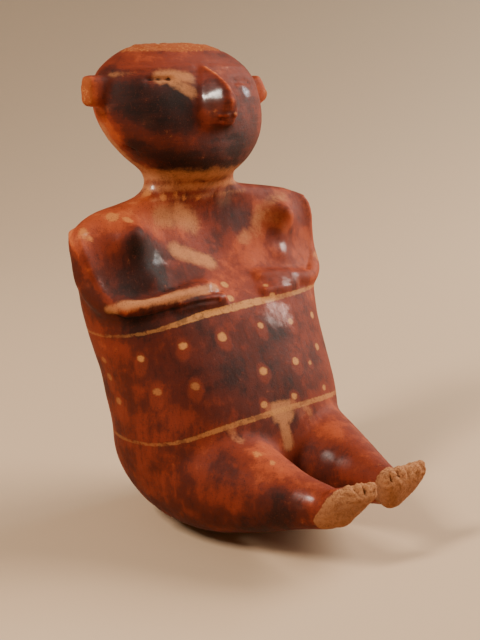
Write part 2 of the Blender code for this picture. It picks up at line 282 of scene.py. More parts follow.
CHEST_TONES = (
    (-86, 15, 178, 10, 0.86), (-66, 18, 184, 9, 0.86), (-45, 18, 182, 10, 0.82), (-24, 14, 178, 8, 0.72),
    (74, 12, 180, 14, 0.66), (85, 10, 163, 14, 0.70), (70, -5, 142, 12, 0.76), (-41, 12, 176, 7, 0.92),
    (22, 3, 157, 9, 0.76), (29, 4, 160, 6, 0.84), (40, 8, 168, 5, 0.86), (47, 11, 178, 5, 0.9),
    (66, 15, 184, 6, 0.84), (48, -7, 149, 13, 0.56), (10, 13, 178, 7, 0.38), (20, 13, 176, 7, 0.32),
    (30, 12, 174, 6, 0.32), (8, 8, 166, 7, 0.34), (22, 10, 170, 5, 0.36), (61, 1, 164, 3, 0.3),
    # Painted light: the spots at (51, 5, 173) and (57, 3, 170) lighten the underside of the left breast,
    # which lies in shade
    (60, 0, 157, 3, 0.26), (51, 5, 173, 5, 0.9), (57, 3, 170, 5, 0.84), (47, 5, 164, 5, 0.5),
    (76, 10, 168, 8, 0.44), (-60, 2, 165, 8, 0.08), (-59, 0, 155, 8, 0.05), (-50, -2, 150, 8, 0.08),
    (-66, -2, 150, 9, 0.1), (-72, 6, 160, 8, 0.3), (-76, 9, 170, 8, 0.52), (-62, 4, 173, 5, 0.14),
    (-47, 5, 160, 6, 0.1), (-46, 8, 169, 6, 0.2), (-66, 8, 178, 5, 0.76), (-70, 8, 173, 5, 0.5),
    (-38, 3, 155, 6, 0.4), (-38, -5, 150, 8, 0.34), (5, -8, 146, 9, 0.64), (-91, 17, 160, 10, 0.36),
    (-86, 8, 140, 10, 0.3), (-70, -11, 130, 9, 0.2), (-45, -21, 133, 9, 0.2), (-24, -22, 136, 7, 0.32),
    (-14, -17, 141, 6, 0.66), (0, 50, 172, 26, 0.56), (60, 46, 160, 24, 0.7), (-60, 46, 150, 24, 0.36),
)
BELLY_TONES = (
    # Painted light: the spot at (-80, 2, 95) lightens the right flank, which lies in shade
    (-86, 15, 112, 14, 0.5), (-80, 2, 95, 14, 0.44), (-62, -25, 112, 12, 0.3), (-60, -28, 96, 12, 0.3),
    (-58, -30, 82, 13, 0.42), (-40, -34, 116, 9, 0.22), (-35, -40, 100, 13, 0.22), (-30, -46, 82, 13, 0.32),
    (-16, -38, 112, 9, 0.4), (-5, -44, 104, 9, 0.18), (0, -54, 88, 13, 0.26), (12, -36, 114, 8, 0.2),
    (22, -30, 122, 7, 0.62), (28, -42, 98, 13, 0.36), (46, -32, 106, 13, 0.46), (60, -22, 92, 14, 0.5),
    (72, -6, 108, 15, 0.58), (30, 52, 100, 28, 0.34), (-35, 50, 80, 26, 0.5),
)
LEG_TONES = (
    (-42, -60, 62, 12, 0.48), (-38, -80, 56, 10, 0.78), (-31, -97, 51, 9, 0.62), (-50, -62, 44, 13, 0.42),
    (-42, -92, 32, 10, 0.24), (-46, -80, 24, 11, 0.26), (-66, -35, 44, 16, 0.42), (-68, -24, 32, 14, 0.34),
    (-72, -8, 42, 18, 0.44), (-67, -30, 58, 10, 0.46), (-58, -48, 20, 14, 0.36), (-40, -30, 8, 18, 0.36),
    # Painted light: the spots at (20, -88, 46), (10, -72, 42) and (10, -84, 34), on this line and the next,
    # lighten the gap between the legs, which lies in shade
    (30, -60, 64, 11, 0.62), (36, -74, 56, 11, 0.64), (20, -88, 46, 9, 0.5), (10, -72, 42, 8, 0.34),
    (10, -84, 34, 8, 0.36), (-27, -70, 60, 7, 0.86), (-44, -94, 39, 7, 0.2), (28, -104, 47, 8, 0.62),
    (-24, -110, 40, 7, 0.6), (0, 44, 40, 26, 0.46), (60, -10, 40, 20, 0.56), (0, 0, 0, 26, 0.4),
)
PLAIN_TONE = 0.5
PLAIN_WEIGHT = 0.08

# Where the slip is thin and the buff clay shows: a path, how broad it is and its strength

TAN_STROKES = (
    (((-84, -3, 137), (-72, -12, 140), (-58, -17, 141), (-30, -18, 142), (-17, -14, 142)), 3.2, 0.95),
    (((24, 6, 163), (36, 8, 167), (43, 11, 176), (58, 15, 183), (68, 16, 184)), 5.0, 0.55),
    (((-33, 17, 181), (-20, 16, 181), (-10, 14, 176)), 8.0, 0.85),
    (((-28, 7, 162), (-18, 3, 158), (-8, 0, 154)), 6.0, 0.9),
    (((-31, 16, 260.5), (-24, 14, 261), (-14, 11, 260)), 4.5, 0.85),
    (((-24, 12, 258), (-16, 7, 252.5)), 4.5, 0.85),
    (((-53, 32, 262), (-42, 24, 262)), 2.2, 0.5),
    (((-57, 39, 232), (-52, 37, 225), (-40, 33, 212), (-35, 25, 203)), 4.5, 0.8),
    (((-11, -54, 76), (7, -55, 75)), 3.6, 0.95),
    (((-7, -56, 71), (3, -57, 70)), 4.6, 0.95),
    (((-3, -58, 66), (-1, -60, 54)), 4.0, 0.95),
    (((17, -55, 72), (21, -57, 66)), 3.4, 0.55),
    (((-40, -52, 69), (-37, -57, 64)), 3.4, 0.55),
)
STROKE_CORE = 0.3
STROKE_END = 1.7

# Bands of thin slip round the neck: height, half breadth and strength

NECK_BANDS = ((204.5, 4.0, 0.8), (197.5, 2.6, 0.72), (191.0, 1.6, 0.5))
BAND_SPREAD = 1.4
NECK_AXIS = (0, 27)
NECK_REACH = 40.0
NECK_FADE = 4.0
HEAD_START = (203, 210)

# Dabs of ochre, and two dabs that paint light on the lip of the nose: x, y, z, reach and strength

OCHRE_AND_LIT_LIP_DABS = (
    # The first two dabs are painted light, where light catches the lip of the nose
    (-3, -11, 240, 1.8, 0.7), (3, -11, 240, 1.8, 0.7), (-87, 14, 179, 5, 1.0), (-84, 12, 175, 4, 1.0),
    (-66, 18, 184, 4.5, 1.0), (-59, 12, 182, 4, 1.0), (-36, -71, 60, 4, 0.8), (-34, -80, 57, 3, 0.8),
    (23, -108, 49, 2, 0.8), (29, -92, 55, 2, 0.8), (84, -2, 147, 5, 1.0), (-29, 16, 192, 3, 0.9),
    (-15, 14, 191, 3, 0.9), (-4, 13, 189, 3, 0.9), (8, 13, 189, 3, 0.8), (-36, 24, 195, 4, 0.9),
    (-22, 14, 193, 3, 0.8),
)

# Where the burnish still shines: x, y, z, reach and strength

POLISHED = (
    (-9, -1, 250, 10, 1.0), (-7, 5, 257, 9, 1.0), (-36, 22, 196, 9, 0.8), (2, 11, 195, 9, 0.7),
    (17, 13, 188, 9, 0.7), (-51, 6, 170, 6, 0.4), (-46, 3, 160, 6, 0.35), (-73, 9, 173, 6, 0.5),
    (50, 3, 168, 8, 0.8), (48, 0, 157, 7, 0.55), (21, -29, 121, 13, 0.36), (46, -18, 139, 6, 0.34),
    (36, -20, 138, 6, 0.34), (-20, -19, 141, 6, 0.5), (12, -78, 47, 6, 0.8), (15, -88, 46, 6, 0.8),
    (12, -56, 70, 5, 0.6), (-37, -105, 44, 6, 0.9), (-54, 30, 244, 5, 0.7), (30, 8, 252, 6, 0.5),
    (62, -18, 130, 6, 0.3), (-34, -50, 70, 8, 0.3), (-80, 15, 180, 8, 0.4), (-44, 12, 236, 5, 0.5),
    (4, -4, 222, 10, 0.3), (-86, 6, 150, 10, 0.3),
)
PATCH_CORE = 0.3
PATCH_END = 1.4

# Colours of the clay and its slip, each slip with the tone at which it is reached

SOOT = (0.011, 0.0028, 0.0013, 1)
WINE = (0.026, 0.0048, 0.0022, 1)
DARK_RED = (0.076, 0.0100, 0.0036, 1)
DEEP_RED = (0.180, 0.0230, 0.0065, 1)
BRICK = (0.340, 0.0560, 0.0140, 1)
ORANGE = (0.520, 0.1300, 0.0360, 1)
SLIP_COLOURS = ((0.16, WINE), (0.34, DARK_RED), (0.55, DEEP_RED), (0.76, BRICK), (1.00, ORANGE))
GHOST_RED = (0.220, 0.0300, 0.0085, 1)
CREAM = (0.50, 0.215, 0.060, 1)
TAN = (0.46, 0.185, 0.070, 1)
OCHRE = (0.52, 0.180, 0.045, 1)
BARE_CLAY = (0.43, 0.185, 0.075, 1)
BARE_DARK = (0.24, 0.088, 0.034, 1)
WORN_RIM = (0.30, 0.070, 0.016, 1)

# Raw noise keeps near its middle; the gain spreads it over 0 to 1

NOISE_GAIN = 2.2
MIDDLE = 0.5

# Clouds of unevenness: size, detail, roughness and, for brush strokes, how they are stretched

BROAD_CLOUD = (30, 2, 0.55)
BLOTCH_CLOUD = (15, 3, 0.5)
MIDDLE_CLOUD = (9, 5, 0.68)
FINE_CLOUD = (2.2, 3, 0.7)
GRAIN_CLOUD = (0.7, 2, 0.55)
UPRIGHT_STROKES = (5, 4, 0.6, (1.2, 1.2, 0.28))
LEVEL_STROKES = (6, 4, 0.6, (0.28, 0.28, 1.8))

# Blends of clouds: the share of each

MOTTLE = {"middle": 0.32, "fine": 0.12, "strokes": 0.26, "blotch": 0.3}
RUBBED = {"middle": 0.45, "fine": 0.3, "strokes": 0.25}
PATCHY = {"middle": 0.6, "fine": 0.4}
FLECKS = {"grain": 0.6, "fine": 0.4}
SPECKS = {"fine": 0.6, "grain": 0.4}
SAND = {"fine": 0.5, "grain": 0.3, "middle": 0.2}
SLIP_RELIEF = {"grain": 0.10, "fine": 0.20, "strokes": 0.25, "pits": -0.3}
BARE_RELIEF = {"fine": 0.9, "grain": 0.6}

# Slip: how far each cause moves the tone

MOTTLING = 0.54
BROAD_MOTTLING = 0.12
SHARP_LIMITS = (0.05, 0.16)
# Painted shade darkens the clay's hollows, fading in between these limits
HOLLOW_LIMITS = (0.06, 0.18)
SHARP_LIGHTER = 0.22
# How far the painted shade in hollows lowers the tone
HOLLOW_PAINTED_SHADE = 0.3
# Lighter crests: partly rubbed slip, partly painted light where light catches them
CREST_LIGHTER = 0.12
CREST_MOTTLING = 0.35
FLECK_LIMITS = (0.66, 0.78)
FLECK_STRENGTH = 0.2

# Marks: how ragged each one is, the limits between which it fades in, and how strong it is

TAN_RAGGED = 0.85
TAN_LIMITS = (0.2, 1.0)
TAN_STRENGTH = 0.85
# Painted shade: the buff clay is kept out of the hollows so that their painted shade shows
TAN_UNDER_HOLLOW_SHADE = 0.9
DAB_RAGGED = 1.6
DAB_LIMITS = (0.35, 0.9)
DAB_STRENGTH = 0.8
LINE_RAGGED = 0.9
LINE_LIMITS = (-0.35, 0.35)
LINE_WEAR_LIMITS = (0.28, 0.5)
LINE_LEAST = 0.5
GHOST_RAGGED = 1.2
GHOST_LIMITS = (1.3, 2.1)
GHOST_STRENGTH = 0.5
DOT_RAGGED = 0.6
DOT_LIMITS = (0.7, 1.25)
DOT_WANDER = 0.2
PAINT_STRENGTH = 0.92
PIT_LIMITS = (0.68, 0.8)
PIT_STRENGTH = 0.4
WORN_RAGGED = 0.8
WORN_LIMITS = (0.35, 0.65)
WORN_STRENGTH = 0.8
SPECK_LIMITS = (0.55, 0.75)
SPECK_STRENGTH = 0.8
BARE_RAGGED = 0.8
BARE_LIMITS = (0.4, 0.6)
SAND_LIMITS = (0.3, 0.6)

# Gloss

WORN_DULLNESS = 0.7
SHINE_RAGGED = 0.9
SHINE_LIMITS = (0.1, 0.9)
PLAIN_ROUGHNESS = 0.68
SHINE_SMOOTHER = 0.3
FINE_ROUGHNESS = 0.14
DULL_ROUGHER = 0.3
TAN_ROUGHER = 0.05
CLAY_IOR = 1.28
BURNISH_WEIGHT = 0.8
BURNISH_ROUGHNESS = 0.2

# Fine relief

RELIEF_DEPTH = 0.6
RELIEF_STRENGTH = 0.5

# Floor

FLOOR_COLOUR = (0.59, 0.415, 0.265, 1)
FLOOR_ROUGHNESS = 0.9
FLOOR_SIDES = 96
FLOOR_RADIUS = 0.9
WALL_CURVE = 3.8
CURVE_STEPS = 24
WALL_HEIGHT = 0.8

# Light: name, aim, azimuth, tilt, distance, size, power and colour

FIGURE_MIDDLE = (0, 0, 0.13)
BACKDROP_MIDDLE = (2.2, 0.8, 0.3)
KEY_COLOUR = (1.0, 0.90, 0.78)
SKY_COLOUR = (0.86, 0.96, 1.0)
SOFT_BOXES = (
    ("right_soft_box", FIGURE_MIDDLE, 64, 31, 2.0, (1.0, 1.1), 63, KEY_COLOUR),
    ("left_soft_box", FIGURE_MIDDLE, -92, 42, 1.4, (0.22, 0.45), 22, KEY_COLOUR),
    ("backdrop_box", BACKDROP_MIDDLE, 30, 45, 1.6, (0.8, 0.8), 45, SKY_COLOUR),
)
ROOM_COLOUR = (0.88, 0.95, 1.0, 1)
ROOM_STRENGTH = 0.245


def clay_form():
    """A fine copy of the solid, to be modelled further."""
    solid = frame["nodes"]["seated_figurine"]
    bpy.ops.object.select_all(action="DESELECT")
    solid.select_set(True)
    bpy.context.view_layer.objects.active = solid
    bpy.ops.object.duplicate()
    clay = bpy.context.object
    clay.name = "burnished_figurine"
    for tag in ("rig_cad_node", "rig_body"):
        del clay[tag]
    clay.parent = None
    clay.data.materials.clear()
    bpy.ops.object.mode_set(mode="EDIT")
    bpy.ops.mesh.select_all(action="SELECT")
    bpy.ops.mesh.remove_doubles(threshold=DOUBLES * MM)
    bpy.ops.object.mode_set(mode="OBJECT")
    one_skin = clay.modifiers.new("one skin", "REMESH")
    one_skin.mode = "VOXEL"
    one_skin.voxel_size = CLAY_GRAIN * MM
    wiped = clay.modifiers.new("wiped smooth", "SMOOTH")
    wiped.factor = WIPING_FORCE
    wiped.iterations = WIPING_PASSES
    for modifier in list(clay.modifiers):
        bpy.ops.object.modifier_apply(modifier=modifier.name)
    return clay


def between(values, low, high):
    return (values > low) & (values < high)


def needs_fine_work(middles):
    x, y, z = middles.T
    feet = y < FEET_BACK
    face = between(z, *FACE_HEIGHTS) & (y < FACE_BACK) & (np.abs(x) < FACE_HALF_WIDTH)
    hands = between(z, *HANDS_HEIGHTS) & (y < HANDS_BACK) & (np.abs(x) < HANDS_HALF_WIDTH)
    return feet | face | hands


def refine(clay):
    """Cuts the faces finer on the feet, the face and the hands."""
    middles = np.empty(len(clay.data.polygons) * 3)
    clay.data.polygons.foreach_get("center", middles)
    chosen = needs_fine_work(middles.reshape(-1, 3) / MM)
    bpy.ops.object.mode_set(mode="EDIT")
    bpy.ops.mesh.select_all(action="DESELECT")
    bpy.ops.mesh.select_mode(type="FACE")
    bpy.ops.object.mode_set(mode="OBJECT")
    clay.data.polygons.foreach_set("select", chosen)
    bpy.ops.object.mode_set(mode="EDIT")
    bpy.ops.mesh.subdivide(number_cuts=1)
    bpy.ops.mesh.select_all(action="DESELECT")
    bpy.ops.object.mode_set(mode="OBJECT")


def distance(points, place, flatness=1):
    """How far each point is from a place; a flatness above 1 counts heights for more."""
    return np.linalg.norm((points - place) * (1, 1, flatness), axis=1)


def distance_to_path(points, path):
    """How far each point is from a path of straight stretches."""
    path = np.array(path, float)
    nearest = np.full(len(points), np.inf)
    for start, end in zip(path[:-1], path[1:]):
        along = end - start
        share = np.clip((points - start) @ along / (along @ along), 0, 1)
        nearest = np.minimum(nearest, distance(points, start + share[:, None] * along))
    return nearest


def bell(distances, width):
    return np.exp(-((distances / width) ** 2))


def soft_step(values, low, high):
    share = np.clip((values - low) / (high - low), 0, 1)
    return share * share * (3 - 2 * share)


def near(points, middle, inner, outer):
    """A weight that is full inside one distance of a place and gone outside the other."""
    return 1 - soft_step(distance(points, middle), inner, outer)


class Modelling:
    """The clay's points while they are pressed and raised by hand, in millimetres."""

    def __init__(self, clay):
        self.mesh = clay.data
        pairs = np.empty(len(self.mesh.edges) * 2, np.int64)
        self.mesh.edges.foreach_get("vertices", pairs)
        self.one, self.other = pairs.reshape(-1, 2).T
        count = len(self.mesh.vertices)
        self.neighbours = np.bincount(self.one, minlength=count) + np.bincount(self.other, minlength=count)
        self.read()

    def read(self):
        count = len(self.mesh.vertices)
        points, normals = np.empty(count * 3), np.empty(count * 3)
        self.mesh.vertices.foreach_get("co", points)
        self.mesh.vertices.foreach_get("normal", normals)
        self.points = points.reshape(-1, 3) / MM
        self.normals = normals.reshape(-1, 3)

    def write(self):
        self.mesh.vertices.foreach_set("co", (self.points * MM).ravel())
        self.mesh.update()
        self.read()

    def raise_by(self, amounts):
        self.points += self.normals * amounts[:, None]

    def raise_along(self, path, breadth, height):
        self.raise_by(height * bell(distance_to_path(self.points, path), breadth))

    def roughen(self, where, size, height, seed):
        """Uneven clay of one grain size, over the points where the weight is above nothing."""
        amounts = np.zeros(len(self.points))
        for i in np.nonzero(where > LEAST_WEIGHT)[0]:
            place = Vector(self.points[i] / size) + Vector((seed, 0, 0))
            amounts[i] = noise.noise(place) * height * where[i]
        self.raise_by(amounts)

    def around(self, at_one, at_other):
        """The mean, over the edges at each point, of a value read at the edge's other end."""
        count = len(self.points)
        total = np.bincount(self.one, at_other, count) + np.bincount(self.other, at_one, count)
        return total / self.neighbours

    def blurred(self, values):
        return self.around(values[self.one], values[self.other])

    def middles(self):
        return np.stack([self.blurred(axis) for axis in self.points.T], -1)

    def ease(self, where, passes):
        """Wipes the clay smooth where the weight is above nothing."""
        for _ in range(passes):
            self.points += (self.middles() - self.points) * where[:, None] / 2

    def sharpness(self):
        """How sharply the clay turns at each point: above nothing on an edge, below it in a hollow."""
        length = np.linalg.norm(self.points[self.one] - self.points[self.other], axis=1)
        spacing = self.around(length, length)
        turned = ((self.points - self.middles()) * self.normals).sum(1) / spacing**2
        for _ in range(EDGE_BLUR):
            turned = (turned + self.blurred(turned)) / 2
        return turned


def bare_feet(points):
    """The slip ends further up the left ankle than the right one, and slants towards the right toes."""
    slant = np.clip((points[:, 2] - SLANT_MIDDLE) * SLANT, *SLANT_LIMITS)
    slip_end = np.where(points[:, 0] > 0, LEFT_SLIP_END, RIGHT_SLIP_END + slant)
    return soft_step(-points[:, 1] - slip_end, -SLIP_END_BLUR, SLIP_END_BLUR)


def coarseness(points):
    """The clay is coarser at the toes than at the heels."""
    return HEEL_COARSENESS + (1 - HEEL_COARSENESS) * soft_step(points[:, 2], *TOE_HEIGHTS)


def worn_crown(points):
    return soft_step(points[:, 2], *CROWN_WEAR)


def worn_ears(points):
    return soft_step(np.abs(points[:, 0]), *EAR_WEAR) * (points[:, 2] > EAR_BOTTOM)


def shape_breasts(work):
    for middle, tip, foot in BREASTS:
        work.ease(near(work.points, middle, BREAST_CORE, BREAST_REACH), BREAST_PASSES)
        work.write()
        work.raise_by(BREAST_RISE * np.clip(1 - distance(work.points, tip) / BREAST_SPREAD, 0, 1))
        work.write()
        work.raise_along((tip, foot), KEEL_BREADTH, KEEL_RISE)
        work.write()
        work.raise_by(NIPPLE_RISE * bell(distance(work.points, tip), NIPPLE_BREADTH))
        work.write()


def flatten_hands(work):
    for middle, inner, outer in HANDS:
        work.ease(near(work.points, middle, inner, outer), HAND_PASSES)
    work.write()


def press_marks(work):
    for path, breadth, height in RAISED:
        work.raise_along(path, breadth, height)
    work.write()
    for path, breadth, depth in PRESSED:
        work.raise_along(path, breadth, -depth)
    for gap in TOE_GAPS:
        work.raise_along(gap, TOE_GAP_BREADTH, -TOE_GAP_DEPTH)
    work.write()


def coarsen_bare_clay(work):
    feet = bare_feet(work.points) * coarseness(work.points)
    crown, ears = worn_crown(work.points), worn_ears(work.points)
    for grain in FOOT_GRAINS:
        work.roughen(feet, *grain)
    work.roughen(crown, *CROWN_GRAIN)
    work.roughen(crown + ears, *RIM_GRAIN)
    work.write()


def model_by_hand(clay):
    work = Modelling(clay)
    shape_breasts(work)
    flatten_hands(work)
    work.roughen(np.ones(len(work.points)), HANDLING_WAVE, HANDLING_DEPTH, HANDLING_SEED)
    work.write()
    press_marks(work)
    coarsen_bare_clay(work)
    return work


def keep(clay, name, amounts):
    """Keeps an amount on each of the clay's own points, for its finish to read."""
    clay.data.attributes.new(name, "FLOAT", "POINT").data.foreach_set("value", amounts.astype(np.float32))


def line_at(rows, turns):
    """Height, half breadth and strength of a painted line at each turn, its corners rounded off."""
    rows = np.array(rows, float)
    values = []
    for column in rows.T[1:]:
        near_turns = [np.interp(turns + slack, rows[:, 0], column, period=360) for slack in CORNER_TURNS]
        values.append(sum(near_turns) / len(CORNER_TURNS))
    return values


def keep_lines(clay, points):
    turns = np.degrees(np.arctan2(points[:, 0] - TRUNK_AXIS[0], TRUNK_AXIS[1] - points[:, 1]))
    nearest, strength = np.full(len(points), FAR), np.zeros(len(points))
    for rows in (UPPER_LINE, LOWER_LINE):
        height, breadth, power = line_at(rows, turns)
        gap = np.abs(points[:, 2] - height) - breadth
        strength = np.where(gap < nearest, power, strength)
        nearest = np.minimum(nearest, gap)
    keep(clay, "line_gap", nearest)
    keep(clay, "line_strength", strength)


def on_trunk(tree, turn, height):
    angle = math.radians(turn)
    outward = Vector((math.sin(angle), -math.cos(angle), 0))
    axis = Vector((*TRUNK_AXIS, height)) * MM
    return np.array(tree.ray_cast(axis, outward)[0]) / MM


def hidden_dots():
    """The dots go on round the back, fewer and fainter, where the photograph doesn't show them."""
    upper, upper_wander, upper_strength = HIDDEN_UPPER
    lower, lower_wander, lower_strength = HIDDEN_LOWER
    dots = []
    for i, turn in enumerate(HIDDEN_TURNS):
        height = upper + upper_wander * math.sin(3 * i)
        dots.append((turn, height, HIDDEN_RADIUS, upper_strength))
        height = lower + lower_wander * math.cos(2 * i)
        dots.append((turn + HIDDEN_SHIFT, height, HIDDEN_RADIUS, lower_strength))
    return tuple(dots)


def all_dots(clay):
    """Middle, radius and strength of each dot, with its middle on the clay."""
    tree = BVHTree.FromObject(clay, bpy.context.evaluated_depsgraph_get())
    dots = []
    for turn, height, radius, strength in BELLY_DOTS + hidden_dots():
        dots.append((on_trunk(tree, turn, height), radius, strength))
    for dot in HAND_DOTS:
        dots.append((np.array(dot), HAND_DOT_RADIUS, HAND_DOT_STRENGTH))
    return dots


def keep_dots(clay, points):
    """Each dot, and the ghost below it where an older dot shows through."""
    nearest, strength = np.full(len(points), FAR), np.zeros(len(points))
    ghost = np.full(len(points), FAR)
    for middle, radius, power in all_dots(clay):
        gap = distance(points, middle, DOT_FLATNESS) / radius
        strength = np.where(gap < nearest, power, strength)
        nearest = np.minimum(nearest, gap)
        below = middle - (0, 0, GHOST_DROP * radius)
        ghost = np.minimum(ghost, distance(points, below, GHOST_FLATNESS) / radius)
    keep(clay, "dot_gap", nearest)
    keep(clay, "dot_strength", strength)
    keep(clay, "dot_ghost", ghost)


def patches(points, spots):
    """A soft weight that is full at the middle of each spot."""
    weight = np.zeros(len(points))
    for x, y, z, reach, strength in spots:
        spot = near(points, (x, y, z), PATCH_CORE * reach, PATCH_END * reach)
        weight = np.maximum(weight, strength * spot)
    return weight


def strokes_over(points, strokes):
    """A soft weight that is full along each stroke and fades on both its sides."""
    weight = np.zeros(len(points))
    for path, breadth, strength in strokes:
        gap = distance_to_path(points, path)
        stroke = 1 - soft_step(gap, STROKE_CORE * breadth, STROKE_END * breadth)
        weight = np.maximum(weight, strength * stroke)
    return weight


def slip_tone(points):
    """The tones of all the areas, each fading into its neighbours."""
    total, weights = np.full(len(points), PLAIN_TONE * PLAIN_WEIGHT), np.full(len(points), PLAIN_WEIGHT)
    for x, y, z, reach, tone in HEAD_TONES + CHEST_TONES + BELLY_TONES + LEG_TONES:
        weight = bell(distance(points, (x, y, z)), reach)
        total += weight * tone
        weights += weight
    return total / weights


def neck_bands(points):
    """Level bands that stay on the neck, under the jaw."""
    weight = np.zeros(len(points))
    for height, breadth, strength in NECK_BANDS:
        weight = np.maximum(weight, strength * bell(points[:, 2] - height, BAND_SPREAD * breadth))
    beside_axis = np.hypot(points[:, 0] - NECK_AXIS[0], points[:, 1] - NECK_AXIS[1])
    return weight * (1 - soft_step(beside_axis, NECK_REACH - NECK_FADE, NECK_REACH + NECK_FADE))


# Crests where the slip has rubbed thin and where painted light falls on them
def rubbed_and_lit_crests(points):
    return np.max([bell(distance_to_path(points, path), breadth) for path, breadth in RUBBED_AND_LIT_CRESTS], axis=0)


def keep_marks(clay, work):
    """Where each painted mark, stain and bare place lies, and where light and shade are painted."""
    points = work.points
    keep_lines(clay, points)
    keep_dots(clay, points)
    keep(clay, "slip_tone", slip_tone(points))
    keep(clay, "tan_area", strokes_over(points, TAN_STROKES))
    keep(clay, "neck_band", neck_bands(points))
    keep(clay, "polish", patches(points, POLISHED))
    keep(clay, "ochre_and_lit_lip_dab", patches(points, OCHRE_AND_LIT_LIP_DABS))
    keep(clay, "bare_clay", bare_feet(points))
    keep(clay, "coarseness", coarseness(points))
    keep(clay, "worn_edge", np.maximum(worn_crown(points), worn_ears(points)))
    keep(clay, "sharpness", work.sharpness())
    keep(clay, "rubbed_and_lit_crest", rubbed_and_lit_crests(points))
    keep(clay, "on_head", soft_step(points[:, 2], *HEAD_START))


class Reading:
    """A value of a finish, used in ordinary arithmetic."""

    def __init__(self, finish, socket):
        self.finish = finish
        self.socket = socket

    def __add__(self, other):
        return self.finish.sum("ADD", self, other)

    def __radd__(self, other):
        return self.finish.sum("ADD", other, self)

    def __sub__(self, other):
        return self.finish.sum("SUBTRACT", self, other)

    def __rsub__(self, other):
        return self.finish.sum("SUBTRACT", other, self)

    def __mul__(self, other):
        return self.finish.sum("MULTIPLY", self, other)

    def __rmul__(self, other):
        return self.finish.sum("MULTIPLY", other, self)


class Finish:
    """A material, with every node of it made by one method."""

    def __init__(self, name):
        self.material = bpy.data.materials.new(name)
        self.material.use_nodes = True
        self.links = self.material.node_tree.links
        self.shader = self.material.node_tree.nodes["Principled BSDF"]

    def node(self, kind, settings, values):
        made = self.material.node_tree.nodes.new(kind)
        for name, setting in settings.items():
            setattr(made, name, setting)
        for name, value in values.items():
            self.set(made, name, value)
        return made

    def set(self, node, name, value):
        if isinstance(value, Reading):
            self.links.new(value.socket, node.inputs[name])
        else:
            node.inputs[name].default_value = value

    def sum(self, operation, first, second):
        made = self.node("ShaderNodeMath", {"operation": operation}, {0: first, 1: second})
        return Reading(self, made.outputs[0])

    def place(self, stretch):
        here = self.node("ShaderNodeTexCoord", {}, {}).outputs["Object"]
        made = self.node("ShaderNodeMapping", {}, {"Vector": Reading(self, here), "Scale": stretch})
        return Reading(self, made.outputs[0])

    def cloud(self, size, detail, roughness, stretch=(1, 1, 1)):
        """Noise from 0 to 1 with lumps of a size in millimetres."""
        values = {
            "Vector": self.place(stretch),
            "Scale": 1 / (size * MM),
            "Detail": detail,
            "Roughness": roughness,
        }
        noisy = Reading(self, self.node("ShaderNodeTexNoise", {}, values).outputs[0])
        return (noisy - MIDDLE) * NOISE_GAIN + MIDDLE

    def kept(self, name):
        return Reading(self, self.node("ShaderNodeAttribute", {"attribute_name": name}, {}).outputs["Fac"])

    def step(self, value, low, high):
        settings = {"interpolation_type": "SMOOTHSTEP"}
        values = {"Value": value, "From Min": low, "From Max": high}
        return Reading(self, self.node("ShaderNodeMapRange", settings, values).outputs[0])

    def over(self, under, colour, share):
        """One colour laid over another."""
        made = self.node("ShaderNodeMix", {"data_type": "RGBA"}, {0: share, 6: under, 7: colour})
        return Reading(self, made.outputs[2])


def swing(cloud, amount):
    """A cloud's swing to both sides of its middle."""
    return (cloud - MIDDLE) * amount


class Clouds:
    """The unevenness that the slip, the marks and the gloss share, from its broadest to its finest."""

    def __init__(self, finish):
        self.broad = finish.cloud(*BROAD_CLOUD)
        self.blotch = finish.cloud(*BLOTCH_CLOUD)
        self.middle = finish.cloud(*MIDDLE_CLOUD)
        self.fine = finish.cloud(*FINE_CLOUD)
        self.grain = finish.cloud(*GRAIN_CLOUD)
        upright = finish.cloud(*UPRIGHT_STROKES)
        level = finish.cloud(*LEVEL_STROKES)
        self.strokes = upright + (level - upright) * finish.kept("on_head")
        self.pits = finish.step(self.grain, *PIT_LIMITS)
        # The hollows, where shade is painted into the colour
        self.hollow = finish.step(0 - finish.kept("sharpness"), *HOLLOW_LIMITS)

    def blend(self, shares):
        """Clouds added up by their shares."""
        parts = [getattr(self, name) * share for name, share in shares.items()]
        total = parts[0]
        for part in parts[1:]:
            total = total + part
        return total


def slip_colour(finish, clouds):
    """The fired slip, lighter on edges and crests, and darker in hollows, where shade is painted."""
    mottling = swing(clouds.blend(MOTTLE), MOTTLING) + swing(clouds.broad, BROAD_MOTTLING)
    tone = finish.kept("slip_tone") + mottling
    sharp = finish.step(finish.kept("sharpness"), *SHARP_LIMITS)
    # Painted shade: hollows pull the tone down towards wine red and black
    tone = tone + sharp * SHARP_LIGHTER - clouds.hollow * HOLLOW_PAINTED_SHADE
    # Crests: lighter where the slip has rubbed thin and, as painted light, where light catches them
    tone = tone + finish.kept("rubbed_and_lit_crest") * (CREST_LIGHTER + clouds.middle * CREST_MOTTLING)
    colour = SOOT
    reached = 0.0
    for full, slip in SLIP_COLOURS:
        colour = finish.over(colour, slip, finish.step(tone, reached, full))
        reached = full
    flecks = finish.step(clouds.blend(FLECKS), *FLECK_LIMITS)
    return finish.over(colour, BRICK, flecks * FLECK_STRENGTH)


def thin_slip(finish, clouds):
    """How much of the buff clay shows; less in the hollows, so that their painted shade shows."""
    thin = finish.sum("MAXIMUM", finish.kept("tan_area"), finish.kept("neck_band"))
    share = finish.step(thin + swing(clouds.blend(RUBBED), TAN_RAGGED), *TAN_LIMITS)
    return share * (1 - clouds.hollow * TAN_UNDER_HOLLOW_SHADE)


def with_ochre(finish, clouds, colour):
    # Ochre dabs, and painted light on the lip of the nose
    dab = finish.step(finish.kept("ochre_and_lit_lip_dab") + swing(clouds.blend(RUBBED), DAB_RAGGED), *DAB_LIMITS)
    return finish.over(colour, OCHRE, dab * DAB_STRENGTH)


